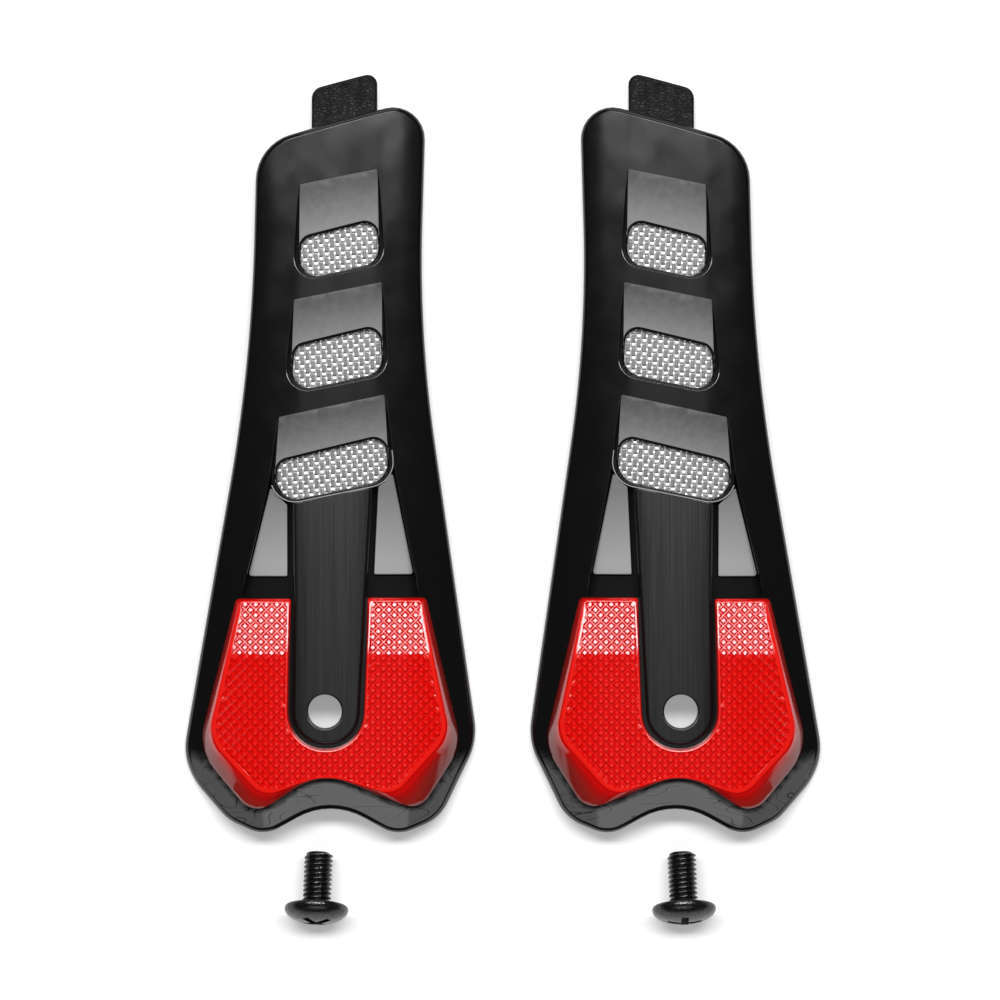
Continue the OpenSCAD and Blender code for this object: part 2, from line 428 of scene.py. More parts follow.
def carried(piece):
    """Takes a piece drawn about the screw hole, in millimetres, to its place in metres."""
    piece.data.transform(Matrix.Scale(MM, 4) @ Matrix.Translation((HOLE.x, HOLE.y, 0)))
    return piece


def twin(piece):
    """The mirrored copy for the right panel."""
    copy = piece.copy()
    copy.data = piece.data.copy()
    bpy.context.scene.collection.objects.link(copy)
    copy.data.transform(Matrix.Scale(-1, 4, (1, 0, 0)))
    copy.data.flip_normals()
    return copy


def both_sides(piece, stem, nodes, body="plate", angle=40, height=None):
    """Names a finished left piece, makes its right twin, and fixes both to their bodies."""
    smooth(piece, angle)
    pair = dict(zip(SIDES, (piece, twin(carried(piece)))))
    for side, one in pair.items():
        one.name = stem + "." + side
        one.data.name = one.name
        if height:
            polished(one, height, -1 if side == "right" else 1)
        if body:
            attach(one, side + "_" + body)
        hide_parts(*[n + "_" + side for n in nodes])
    return pair


# ---------------------------------------------------------------- materials

def linear(hex_colour):
    parts = [int(hex_colour[i:i + 2], 16) / 255 for i in (1, 3, 5)]
    return [c / 12.92 if c <= 0.04045 else ((c + 0.055) / 1.055) ** 2.4 for c in parts] + [1.0]


def node(mat, kind, inputs=(), **settings):
    """Adds a node. inputs gives each socket, by name or number, a constant or another node's output."""
    made = mat.node_tree.nodes.new("ShaderNode" + kind)
    for key, value in settings.items():
        setattr(made, key, value)
    for key, value in dict(inputs).items():
        if isinstance(value, bpy.types.NodeSocket):
            mat.node_tree.links.new(value, made.inputs[key])
        else:
            made.inputs[key].default_value = value
    return made


def material(name, colour, roughness, **shader):
    """A material with its plain colour and gloss, which a finish may refine, and a place in millimetres."""
    mat = bpy.data.materials.new(name)
    mat.use_nodes = True
    bsdf = mat.node_tree.nodes["Principled BSDF"]
    bsdf.inputs["Base Color"].default_value = linear(colour)
    bsdf.inputs["Roughness"].default_value = roughness
    for key, value in shader.items():
        bsdf.inputs[key.replace("_", " ")].default_value = value
    place = node(mat, "TexCoord").outputs["Object"]
    where = node(mat, "VectorMath", {0: place, "Scale": 1 / MM}, operation="SCALE")
    return mat, bsdf, where.outputs[0]


def clouds(mat, where, scale, detail=2.0, stretch=(1, 1, 1)):
    """A cloudy pattern with features about 1/scale millimetres across."""
    moved = node(mat, "VectorMath", {0: where, 1: stretch}, operation="MULTIPLY").outputs[0]
    return node(mat, "TexNoise", {"Vector": moved, "Scale": scale, "Detail": detail}).outputs[0]


def uneven_sheen(mat, bsdf, pattern, low, high):
    """Lets the roughness wander between two values, as a cloudy pattern does about its middle."""
    sheen = node(mat, "MapRange", {0: pattern, 1: 0.3, 2: 0.7, 3: low, 4: high}).outputs[0]
    mat.node_tree.links.new(sheen, bsdf.inputs["Roughness"])


def embossed(mat, bsdf, pattern, millimetres):
    """Raises a pattern by its real height."""
    bump = node(mat, "Bump", {"Height": pattern, "Strength": 1.0, "Distance": millimetres * MM})
    mat.node_tree.links.new(bump.outputs[0], bsdf.inputs["Normal"])


def two_shades(mat, bsdf, share, dark, light):
    """Colours the surface between two shades."""
    tint = node(mat, "Mix", {0: share, 6: linear(dark), 7: linear(light)}, data_type="RGBA").outputs[2]
    mat.node_tree.links.new(tint, bsdf.inputs["Base Color"])


def measured(mat):
    """The measure that the piece was laid out by, in millimetres."""
    return node(mat, "SeparateXYZ", {0: node(mat, "TexCoord").outputs["UV"]}).outputs["Y"]


def plate_black():
    # Gloss-moulded ABS: a near-black mirror with a faint unevenness in its sheen
    # Where the rim falls away at the lower end it is painted grey with the fall, as a painted reflection of
    # the light, with dark hairlines through it in patches
    mat, bsdf, where = material("abs_gloss_black_painted_rim_reflection", "#0b0b0b", 0.14)
    uneven_sheen(mat, bsdf, clouds(mat, where, 0.15, 3.0), 0.1, 0.14)
    # Painted reflection: the fallen rim is coloured grey in step with how far it falls
    painted_reflection = node(mat, "MapRange", {0: measured(mat), 1: 0.02, 2: 0.5}).outputs[0]
    swirl = clouds(mat, where, 0.12, 0.0, (1, 2.5, 1))
    contours = node(mat, "Math", {0: swirl, 1: 5.0}, operation="MULTIPLY").outputs[0]
    phase = node(mat, "Math", {0: contours}, operation="FRACT").outputs[0]
    hairline = node(mat, "Math", {0: phase, 1: 0.07}, operation="LESS_THAN").outputs[0]
    patch = node(mat, "Math", {0: clouds(mat, where, 0.15, 0.0), 1: 0.5}, operation="GREATER_THAN").outputs[0]
    patchy_hairline = node(mat, "Math", {0: hairline, 1: patch}, operation="MULTIPLY").outputs[0]
    depth = node(mat, "Math", {0: patchy_hairline, 1: 0.7}, operation="MULTIPLY").outputs[0]
    shade = node(mat, "Math", {0: painted_reflection, 1: depth}, operation="SUBTRACT", use_clamp=True).outputs[0]
    two_shades(mat, bsdf, shade, "#0c0c0c", "#585858")
    return mat


def tray_black():
    # Moulded plastic on the floor of the recess and on the vents' side walls: matt and close to black, and a
    # little darker than the plate as painted shade in these recesses
    return material("abs_matt_black_painted_recess_shade", "#050505", 0.7, Specular_IOR_Level=0.15)[0]


def scoop_satin():
    # Satin paint sprayed on black plastic, with a fine grain. It is painted darker towards each ramp's upper
    # edge, as painted shade where the ramp tilts less towards the light
    mat, bsdf, where = material("satin_grey_paint", "#6e6e6e", 0.5)
    cloudy = clouds(mat, where, 0.7, 4.0)
    down = node(mat, "Math", {0: cloudy, 1: 4.0, 2: measured(mat)}, operation="MULTIPLY_ADD").outputs[0]
    # Painted shade: darker near the ramp's upper edge, lighter further down
    painted_shading = node(mat, "MapRange", {0: down, 1: 1.8, 2: 12.0, 3: 0.0, 4: 1.0}).outputs[0]
    two_shades(mat, bsdf, painted_shading, "#3a3a3a", "#868686")
    grain = clouds(mat, where, 12.0, 2.0)
    uneven_sheen(mat, bsdf, grain, 0.44, 0.56)
    embossed(mat, bsdf, grain, 0.008)
    return mat


def facet_satin():
    # The same satin paint, painted a shade lighter as painted light on the facets' slope, and painted darker
    # towards each facet's upper end as painted shade
    mat, bsdf, where = material("satin_grey_paint_painted_light", "#9c9c9c", 0.45)
    # Painted shade towards the facet's upper end, painted light further down
    painted_shading = node(mat, "MapRange", {0: measured(mat), 1: 1.0, 2: 16.0}).outputs[0]
    two_shades(mat, bsdf, painted_shading, "#767676", "#a2a2a2")
    grain = clouds(mat, where, 12.0, 2.0)
    uneven_sheen(mat, bsdf, grain, 0.4, 0.52)
    embossed(mat, bsdf, grain, 0.008)
    return mat


def strap_black():
    # Satin nylon: dark grey with fine mould lines along its length
    mat, bsdf, where = material("satin_black_nylon", "#101010", 0.24)
    lines = clouds(mat, where, 1.0, 3.0, (2.2, 0.03, 0.2))
    uneven_sheen(mat, bsdf, lines, 0.2, 0.26)
    grain = clouds(mat, where, 10.0)
    both = node(mat, "Math", {0: lines, 1: 3.0, 2: grain}, operation="MULTIPLY_ADD").outputs[0]
    embossed(mat, bsdf, both, 0.004)
    return mat


def mesh_steel(name, colour):
    # Drawn stainless wire, in a lit and a shaded copy: the crossing wires are painted bright as painted
    # light, the lengthwise ones painted duller as painted shade
    mat, bsdf, where = material(name, colour, 0.45, Metallic=0.55)
    uneven_sheen(mat, bsdf, clouds(mat, where, 2.0, 3.0), 0.34, 0.48)
    return mat


# Depth below the pad's top in millimetres, and the colour painted there: lighter on the flat tops and groove
# floors as painted light, deeper red on the grooves' slopes and darker and browner down the side walls as
# painted shade
PAD_LIGHT_AND_SHADE = [(0.0, "#ea1a12"), (0.03, "#e8180f"), (0.07, "#d00604"), (0.34, "#d00604"), (0.4, "#e60c09"),
              (0.5, "#d40a08"), (1.1, "#b80c0a"), (2.2, "#94201a"), (4.4, "#5c0a08")]


def pad_red():
    # Semi-gloss red TPU: saturated, with enough sheen for the knurl's edges to catch the light
    # The grooves' slopes are painted deeper red and the side walls browner towards the foot, as painted
    # shade, with the flat tops and groove floors painted lighter as painted light
    mat, bsdf, where = material("red_tpu", "#dd0a08", 0.12, Specular_IOR_Level=0.6)
    uneven_sheen(mat, bsdf, clouds(mat, where, 0.35, 2.0), 0.1, 0.15)
    deepest = PAD_LIGHT_AND_SHADE[-1][0]
    share = node(mat, "Math", {0: measured(mat), 1: deepest}, operation="DIVIDE").outputs[0]
    # Painted light and shade, laid out by depth below the pad's top
    shades = node(mat, "ValToRGB", {0: share})
    stops = shades.color_ramp.elements
    for place, _ in PAD_LIGHT_AND_SHADE[1:-1]:
        stops.new(place / deepest)
    for stop, (_, colour) in zip(stops, PAD_LIGHT_AND_SHADE):
        stop.color = linear(colour)
    mat.node_tree.links.new(shades.outputs[0], bsdf.inputs["Base Color"])
    return mat


def tab_leather():
    # Black grain leather: flat pebbles a millimetre wide with darker creases and a dull sheen
    mat, bsdf, where = material("black_grain_leather", "#050505", 0.55, Specular_IOR_Level=0.16)
    wander = node(mat, "TexNoise", {"Vector": where, "Scale": 1.2, "Detail": 2.0}).outputs["Color"]
    bent = node(mat, "VectorMath", {0: wander, 1: (0.6, 0.6, 0.6), 2: where}, operation="MULTIPLY_ADD")
    flat = node(mat, "VectorMath", {0: bent.outputs[0], 1: (1, 2.2, 1)}, operation="MULTIPLY").outputs[0]
    cells = node(mat, "TexVoronoi", {"Vector": flat, "Scale": 0.9}, feature="DISTANCE_TO_EDGE").outputs[0]
    pebbles = node(mat, "MapRange", {0: cells, 1: 0.0, 2: 0.25, 3: 0.0, 4: 1.0},
                   interpolation_type="SMOOTHSTEP").outputs[0]
    embossed(mat, bsdf, pebbles, 0.03)
    sheen = node(mat, "MapRange", {0: pebbles, 3: 0.62, 4: 0.4}).outputs[0]
    mat.node_tree.links.new(sheen, bsdf.inputs["Roughness"])
    return mat


def screw_black():
    # Black-oxide steel: a mottled dark coat with sharp bright edges
    mat, bsdf, where = material("black_oxide_steel", "#4a4a4c", 0.2, Metallic=0.9)
    coat = clouds(mat, where, 3.0, 4.0)
    mottle = node(mat, "MapRange", {0: coat, 1: 0.3, 2: 0.7, 3: 0.0, 4: 1.0}).outputs[0]
    two_shades(mat, bsdf, mottle, "#0c0c0e", "#5c5c5e")
    uneven_sheen(mat, bsdf, clouds(mat, where, 1.0, 3.0), 0.16, 0.28)
    embossed(mat, bsdf, clouds(mat, where, 4.0, 3.0), 0.04)
    return mat


PLATE_BLACK, RECESS_BLACK_AND_SHADE = plate_black(), tray_black()
SCOOP_SATIN, PAINTED_LIGHT_SATIN = scoop_satin(), facet_satin()
STRAP_BLACK, PAD_RED, TAB_LEATHER, SCREW_BLACK = strap_black(), pad_red(), tab_leather(), screw_black()
# One steel in two colours: lengthwise wires painted darker as shade, crossing wires painted bright as light
SHADED_WARP_STEEL = mesh_steel("stainless_warp_wire_painted_shade", "#a0a0a0")
LIT_WEFT_STEEL = mesh_steel("stainless_weft_wire_painted_light", "#fafafa")

# ---------------------------------------------------------------- the panels

LIP = 1.0
WINDOW_LIP = 0.4
LUG_R = 5.5
# The lower window's edge is sharp beside the facets' foot and round further up
FACET_EDGE_Y = 25
FACET_EDGE_RUN = 6


def vent_window(i):
    (tl, tr, br, bl), r = VENTS[i], VENT_RADIUS[i]
    return rounded([(*tl, 0.3), (*tr, 0.3), (*br, r), (*bl, r)])


def fading_to(i):
    """No rounding at a vent's upper edge, where its floor is flush with the plate."""
    return lambda x, y: smoothstep((below_vent_edge(i, x, y) - 0.5) / 5)


def mapped(piece, measure):
    """Lays a piece's finish out by x and by a measure of each point, both in millimetres."""
    layer = piece.data.uv_layers.new(name="finish")
    spots = [(v.co.x, measure(v.co)) for v in piece.data.vertices]
    for corner in piece.data.loops:
        layer.data[corner.index].uv = spots[corner.vertex_index]
    return piece


def build_frame():
    rims = [rounding(vent_window(i), WINDOW_LIP, 3, -1, fading_to(i)) for i in (0, 1)]
    rims.append(rounding(rounded(LOWER_WINDOW), WINDOW_LIP, 3, -1,
                         lambda x, y: fading_to(2)(x, y) * smoothstep((y - FACET_EDGE_Y) / FACET_EDGE_RUN)))
    rims.append([(circle(LUG_R), 0.0), (circle(LUG_R + 0.3), 0.0)])
    plate = crowned_sheet("frame", rounding(rounded(PLATE), LIP, 5), rims, frame_top, frame_underside,
                          [PLATE_BLACK])
    # Inside this outline the fallen rim is painted grey, as a reflection of the light
    painted_reflection = inset(rounded(PLATE), LIP + 0.1)

    def reflection_fall(p):
        """How far the rim has fallen, which sets the painted reflection there, and nothing on its rounded
        edge.
        """
        fall = flange_fall(p.x, p.y)
        return fall if fall and distance_outside(painted_reflection, p.x, p.y) == 0 else 0.0

    return mapped(plate, reflection_fall)


SLOT_SIDE = 1.0
SLOT_LOW = 0.4
SLOT_TOP_R = 2.6
# Share of the side wall's lean that is left at a vent's lower end, and how far up it grows to the whole
LOW_LEAN = 0.3
LEAN_RUN = 4


def slot_outline(i, margin=0.0):
    """The rounded opening at a vent's lower end, grown by a margin."""
    (tl, tr, br, bl), h = VENTS[i], SLOT_HEIGHT[i]
    left = Vector(bl).lerp(Vector(tl), h / (tl[1] - bl[1]))
    right = Vector(br).lerp(Vector(tr), h / (tr[1] - br[1]))
    side, low, r = SLOT_SIDE - margin, SLOT_LOW - margin, VENT_RADIUS[i] - 0.6 + margin
    return rounded([(left.x + side, left.y + margin, SLOT_TOP_R),
                    (right.x - side, right.y + margin, SLOT_TOP_R),
                    (br[0] - side, br[1] + low, r), (bl[0] + side, bl[1] + low, r)])


def build_scoop(i):
    window = vent_window(i)
    (x0, y0), (x1, y1) = VENTS[i][3], VENTS[i][2]

    def wall(share):
        """The black side wall leans in by its own depth, and hardly at all at the lower end."""
        def distance(p):
            deep = (plate_z(p.x, p.y) - vent_z(i, p.x, p.y)) / VENT_DEPTH
            above = p.y - (y0 + (y1 - y0) * (p.x - x0) / (x1 - x0))
            lean = LOW_LEAN + (1 - LOW_LEAN) * smoothstep(above / LEAN_RUN)
            return share * (0.04 + 0.84 * deep * lean)
        return distance

    def raised(share):
        return lambda x, y: -share * (plate_z(x, y) - vent_z(i, x, y))

    outer = [(window, raised(0.9)), (inset(window, wall(0.55)), raised(0.4)),
             (inset(window, wall(0.85)), raised(0.1)), (inset(window, wall(1.0)), 0.0),
             (inset(window, wall(1.18)), 0.0)]
    slot = rounding(slot_outline(i), 0.3, 3, -1)
    # The side walls and the slot's lip take the near-black recess material, partly as painted shade
    scoop = crowned_sheet("scoop", outer, [slot], lambda x, y: vent_z(i, x, y),
                          lambda x, y: vent_z(i, x, y) - TRAY_T, [SCOOP_SATIN, RECESS_BLACK_AND_SHADE], grid_cuts(1.5),
                          band_material=1)
    return mapped(scoop, lambda p: below_vent_edge(i, p.x, p.y))


WARP_PITCH = 1.13
WEFT_PITCH = 0.93
WEFT_RISE = math.tan(math.radians(3.7))
WIRE_WAVE = 0.16
WEFT_WAVE = 1.3
# Half the width and half the thickness of each wire, which is rolled flat
WARP_WIRE = (0.42, 0.12)
WEFT_WIRE = (0.36, 0.13)
WIRE_SIDES = 8
STEPS_PER_PITCH = 8
SHORTEST_WIRE = 0.5
MESH_MARGIN = 0.55
MESH_GAP = 0.7
WARP_COUNT = 30
WEFT_ROWS = range(-8, 16)


def span(loop, start, direction):
    """Where a line enters and leaves a rounded outline, as distances along it, or None."""
    hits = []
    for a, b in zip(loop, loop[1:] + loop[:1]):
        edge = b - a
        cross = direction.cross(edge)
        if abs(cross) > 1e-9:
            t, s = (a - start).cross(edge) / cross, (a - start).cross(direction) / cross
            if 0 <= s < 1:
                hits.append(t)
    return (min(hits), max(hits)) if len(hits) > 1 else None


def wire(bm, path, half, across):
    """A closed wire of oval section along a path."""
    half_w, half_t = half
    closed_tube(bm, [[bm.verts.new(p + across * (half_w * math.cos(a)) + Vector((0, 0, half_t * math.sin(a))))
                      for a in (math.tau * (k + 0.5) / WIRE_SIDES for k in range(WIRE_SIDES))] for p in path])


def build_mesh(i):
    """Twill cloth: each weft wire passes over one warp wire and under two."""
    loop = slot_outline(i, MESH_MARGIN)
    bm = bmesh.new()
    low = Vector(VENTS[i][3])
    warp_x = [low.x + WARP_PITCH * k for k in range(WARP_COUNT)]

    def weft_row(x, y):
        return (y - low.y - WEFT_RISE * (x - low.x)) / WEFT_PITCH

    def middle(x, y):
        return vent_z(i, x, y) - TRAY_T - MESH_GAP

    def weave(warp, weft):
        """1 where the weft is on top, and -1 where the warp is."""
        return 1 if (warp - weft) % 3 == 0 else -1

    def between(a, b, t):
        return a + (b - a) * smoothstep((t - 0.3) / 0.4)

    for k, x in enumerate(warp_x):
        ends = span(loop, Vector((x, 0)), Vector((0, 1)))
        if ends and ends[1] - ends[0] > SHORTEST_WIRE:
            count = max(2, round((ends[1] - ends[0]) / WEFT_PITCH * STEPS_PER_PITCH))
            path = []
            for n in range(count + 1):
                y = ends[0] + (ends[1] - ends[0]) * n / count
                row = weft_row(x, y)
                up = -between(weave(k, math.floor(row)), weave(k, math.floor(row) + 1), row % 1)
                path.append(Vector((x, y, middle(x, y) + WIRE_WAVE * up)))
            wire(bm, path, WARP_WIRE, Vector((1, 0, 0)))
    warp_faces = len(bm.faces)
    along = Vector((1, WEFT_RISE)).normalized()
    for j in WEFT_ROWS:
        start = Vector((low.x, low.y + WEFT_PITCH * j))
        ends = span(loop, start, along)
        if ends and ends[1] - ends[0] > SHORTEST_WIRE:
            count = max(2, round((ends[1] - ends[0]) / WARP_PITCH * STEPS_PER_PITCH))
            path = []
            for n in range(count + 1):
                p = start + along * (ends[0] + (ends[1] - ends[0]) * n / count)
                col = (p.x - low.x) / WARP_PITCH
                up = between(weave(math.floor(col), j), weave(math.floor(col) + 1, j), col % 1)
                path.append(Vector((p.x, p.y, middle(p.x, p.y) + WIRE_WAVE * WEFT_WAVE * up)))
            wire(bm, path, WEFT_WIRE, Vector((-along.y, along.x, 0)))
    for f in bm.faces[warp_faces:]:
        f.material_index = 1
    bmesh.ops.recalc_face_normals(bm, faces=bm.faces[:])
    return object_from(bm, "mesh", [SHADED_WARP_STEEL, LIT_WEFT_STEEL])


def build_tray():
    """The dark floor under the facets and the strap, with its low wall. Its near-black is partly painted
    shade in the valley.
    """
    floor = rounded([(-11.0, 51.4, 0.1), (-12.1, 42.5, 5), (14.3, 47.9, 5), (13.65, 53.6, 0.1),
                     (14.4, 52.2, 0.1), (19.9, 23.3, 1.2), (-17.9, 23.3, 1.2), (-12.1, 49.8, 0.1)])

    def level(x, y):
        return plate_z(x, y) - VALLEY_DEPTH

    outer = [(floor, 0.5 - VALLEY_DEPTH), (inset(floor, 0.05), -0.3), (inset(floor, 0.12), 0.0)]
    return crowned_sheet("tray", outer, [], level, lambda x, y: level(x, y) - TRAY_T, [RECESS_BLACK_AND_SHADE])


# Half the width and half the height of the bead, and how far outside the vent it runs
BEAD_HALF = (0.13, 0.3)
BEAD_OUT = 0.28
BEAD_SUNK = 0.1
BEAD_STEP = 0.8
BEAD_SIDES = 10
# Where it ends on the left and on the right, and where it crosses the strap
BEAD_END_Y = (47.6, 54.8)
BEAD_STRAP_X = 1.5
BEAD_STRAP_HALF = 8.9


def build_bead():
    """The thin rim round the lower half of the lowest vent, which rises over the strap's end. Its light grey
    is a painted highlight on the black rim.
    """
    loop = inset(vent_window(2), -BEAD_OUT)
    path = [p for p in loop if p.y < BEAD_END_Y[p.x >= 0]]
    fine = []
    for a, b in zip(path, path[1:]):
        count = max(1, round((b - a).length / BEAD_STEP))
        fine += [a.lerp(b, n / count) for n in range(count)]
    fine.append(path[-1])
    bm = bmesh.new()
    rings = []
    half_w, half_t = BEAD_HALF
    for n, p in enumerate(fine):
        along = (fine[min(n + 1, len(fine) - 1)] - fine[max(n - 1, 0)]).normalized()
        side = Vector((along.y, -along.x, 0))
        over_strap = STRAP_RISE * smoothstep(BEAD_STRAP_HALF - abs(p.x - BEAD_STRAP_X))
        base = Vector((p.x, p.y, plate_z(p.x, p.y) - BEAD_SUNK + over_strap))
        angles = (math.tau * k / BEAD_SIDES for k in range(BEAD_SIDES))
        rings.append([bm.verts.new(base + side * (half_w * math.cos(a))
                                   + Vector((0, 0, half_t * math.sin(a)))) for a in angles])
    closed_tube(bm, rings)
    bmesh.ops.recalc_face_normals(bm, faces=bm.faces[:])
    # The light grey satin paints the rim's highlight
    return mapped(object_from(bm, "bead", [PAINTED_LIGHT_SATIN]), lambda p: p.y)


def build_facet(k):
    loop = rounded(FACETS[k], 3)
    facet = crowned_sheet("facet", rounding(loop, 0.22, 3), [], facet_z,
                          lambda x, y: plate_z(x, y) - VALLEY_DEPTH + 0.01, [PAINTED_LIGHT_SATIN])
    return mapped(facet, lambda p: FACET_TOP_Y - p.y)


def strap_top(x, y):
    return plate_z(x, y) + STRAP_RISE - STRAP_SHOULDER * ((x - RIDGE_X) / STRAP_HALF) ** 4


def build_strap():
    def underside(x, y):
        return plate_z(x, y) - (VALLEY_DEPTH - 0.01 if y > STRAP_DEEP_Y else FIT)

    bore = rounding(circle(HOLE_R), 0.35, 3, -1)
    return crowned_sheet("strap", rounding(rounded(STRAP), 0.7, 4), [bore], strap_top, underside,
                         [STRAP_BLACK], grid_cuts(1.0))


def build_lug():
    """The strap's bush, through the plate."""
    return crowned_sheet("lug", [(circle(LUG_R), 0.0), (circle(LUG_R - 0.4), 0.0)],
                         [[(circle(HOLE_R), 0.0), (circle(HOLE_R + 0.4), 0.0)]],
                         plate_z, lambda x, y: plate_z(x, y) - PLATE_T - 0.2, [STRAP_BLACK])


DIAGONALS = (Vector((1, 1)).normalized(), Vector((1, -1)).normalized())


def knurl(x, y):
    """Depth of the crossed grooves, which leave flat diamonds between them."""
    deepest = 0.0
    for across in DIAGONALS:
        u = across.dot(Vector((x, y)))
        off = abs(u - KNURL_PITCH * round(u / KNURL_PITCH))
        deepest = max(deepest, min(1.0, (KNURL_GROOVE - off) / (KNURL_GROOVE - KNURL_FLOOR)))
    return KNURL_DEPTH * max(0.0, deepest)


def build_pad():
    base, top = rounded(PAD_BASE), rounded(PAD_TOP, like=PAD_BASE)

    def foot(x, y):
        return pad_z(x, y) - plate_z(x, y)

    def border(p):
        """Plain edges are narrow beside the strap and wider on the outer sides."""
        narrow, wide = KNURL_BORDER
        outer_side = smoothstep((abs(p.x - RIDGE_X) - 9) / 3) * smoothstep((22.8 - p.y) / 1.5)
        return narrow + (wide - narrow) * outer_side

    outer = [(base, lambda x, y: foot(x, y) - FIT),
             (mixed(base, top, 0.12), lambda x, y: 0.8 * foot(x, y)),
             (mixed(base, top, 0.55), lambda x, y: 0.52 * foot(x, y)),
             (mixed(base, top, 0.9), 0.36), (top, 0.16), (inset(top, 0.15), 0.04), (inset(top, 0.3), 0.0),
             (inset(top, border), 0.0)]
    offsets = (-KNURL_GROOVE, -KNURL_FLOOR, KNURL_FLOOR, KNURL_GROOVE)
    grooves = [KNURL_PITCH * k + off for k in range(-40, 41) for off in offsets]
    cuts = [(across, grooves) for across in DIAGONALS]
    pad = crowned_sheet("pad", outer, [], pad_z, plate_z, [PAD_RED], cuts, knurl)
    return mapped(pad, lambda p: pad_z(p.x, p.y) - p.z)


TAB_X = 3.8
TAB_HALF = 6.85
TAB_BACK = 112.2
TAB_EDGE = 123.0
TAB_SLANT = math.tan(math.radians(15.1))
TAB_END = 131.9
TAB_T = 1.2
TAB_CELL = 0.7
# Heights of the long folds and of the narrow ripple, and how far the free end sags
TAB_FOLD = 0.22
TAB_RIPPLE = 0.12
TAB_SAG = 0.35


def build_tab():
    """One strip of leather under the plate's upper edge, softly folded where it is free."""
    left, right = TAB_X - TAB_HALF, TAB_X + TAB_HALF
    loop = rounded([(left, TAB_BACK, 0.6), (right, TAB_BACK, 0.6),
                    (right, TAB_END + TAB_HALF * TAB_SLANT, 2.0),
                    (left, TAB_END - TAB_HALF * TAB_SLANT, 2.6)])

    def top(x, y):
        free = smoothstep((y - TAB_EDGE - TAB_SLANT * (x - TAB_X)) / 3)
        folds = TAB_FOLD * math.sin(0.9 * x + 0.35 * y) * math.cos(0.5 * y - 0.4 * x)
        folds -= TAB_RIPPLE * math.cos(1.7 * x)
        return plate_z(x, y) - PLATE_T - FIT + free * (folds - TAB_SAG)

    return crowned_sheet("tab", rounding(loop, 0.4, 4), [], top, lambda x, y: top(x, y) - TAB_T,
                         [TAB_LEATHER], grid_cuts(TAB_CELL))


# ---------------------------------------------------------------- the screws

THREAD_R = 3.0
THREAD_L = 12.0
THREAD_PITCH = 1.0
HEAD_R = 6.7
HEAD_H = 3.7
HEAD_RIM = 0.7
HEAD_FOOT = THREAD_L - 0.5
THREAD_START = 0.3
SCREW_ANCHOR = THREAD_L / 2
RECESS_DEPTH = 2.2
RECESS_HALF_LENGTH = 4.6
RECESS_HALF_WIDTH = 0.85
RECESS_TAPER = (0.4, 0.7)
THREAD_DEPTH = 0.55
THREAD_CREST = 1.35
THREAD_FLANK = 3.2
TIP_CHAMFER = 0.15
TIP_LENGTH = 0.3
AROUND = 36
STEPS_PER_TURN = 8
SCREW_ANGLE = 35


def screw_blank():
    """The shank with its helical thread and the domed head, along +Z from the thread's end."""
    bm = bmesh.new()
    rings = []
    thread = HEAD_FOOT - THREAD_START
    for n in range(int(thread / THREAD_PITCH * STEPS_PER_TURN) + 1):
        z = n * THREAD_PITCH / STEPS_PER_TURN
        ring = []
        for k in range(AROUND):
            a = math.tau * k / AROUND
            phase = (z / THREAD_PITCH - k / AROUND) % 1
            ridge = min(1.0, max(0.0, THREAD_CREST - abs(phase - 0.5) * THREAD_FLANK))
            # The thread runs in at the tip and out under the head
            fade = min(1.0, 0.3 + z / 0.6, (thread - z) / 0.5)
            chamfer = TIP_CHAMFER * max(0.0, 1 - z / TIP_LENGTH)
            r = THREAD_R - THREAD_DEPTH + THREAD_DEPTH * ridge * fade - chamfer
            ring.append(bm.verts.new((r * math.cos(a), r * math.sin(a), THREAD_START + z)))
        rings.append(ring)
    # A thick rolled rim under a domed top
    profile = [(2.5, HEAD_FOOT), (HEAD_R - 0.6, HEAD_FOOT)]
    profile += [(HEAD_R - 0.5 + 0.5 * math.sin(a), HEAD_FOOT + HEAD_RIM * (1 - math.cos(a)))
                for a in (math.pi / 2 * k / 6 for k in range(1, 6))]
    profile += [(HEAD_R * math.cos(a), HEAD_FOOT + HEAD_RIM + (HEAD_H - HEAD_RIM) * math.sin(a))
                for a in (math.pi / 2 * k / 18 for k in range(18))]
    for r, z in profile:
        rings.append([bm.verts.new((r * math.cos(a), r * math.sin(a), z))
                      for a in (math.tau * k / AROUND for k in range(AROUND))])
    closed_tube(bm, rings)
    bmesh.ops.recalc_face_normals(bm, faces=bm.faces[:])
    return object_from(bm, "screw", [SCREW_BLACK])


def cut_out(piece, cutter):
    """Cuts the shape of one piece out of another."""
    bpy.ops.object.select_all(action="DESELECT")
    bpy.context.view_layer.objects.active = piece
    modifier = piece.modifiers.new("cut", "BOOLEAN")
    modifier.object = cutter
    modifier.solver = "EXACT"
    bpy.ops.object.modifier_apply(modifier=modifier.name)
    bpy.data.objects.remove(cutter)


def recess_cutter(turn):
    """A tapering cross wing: a box whose lower face is drawn in."""
    bpy.ops.mesh.primitive_cube_add(size=1)
    wing = bpy.context.object
    top = HEAD_FOOT + HEAD_H + 0.6
    low = HEAD_FOOT + HEAD_H - RECESS_DEPTH
    for v in wing.data.vertices:
        x, y, z = v.co
        shorter, narrower = (1.0, 1.0) if z > 0 else RECESS_TAPER
        v.co = (x * 2 * RECESS_HALF_LENGTH * shorter, y * 2 * RECESS_HALF_WIDTH * narrower,
                top if z > 0 else low)
    wing.data.transform(Matrix.Rotation(math.radians(turn), 4, "Z"))
    return wing


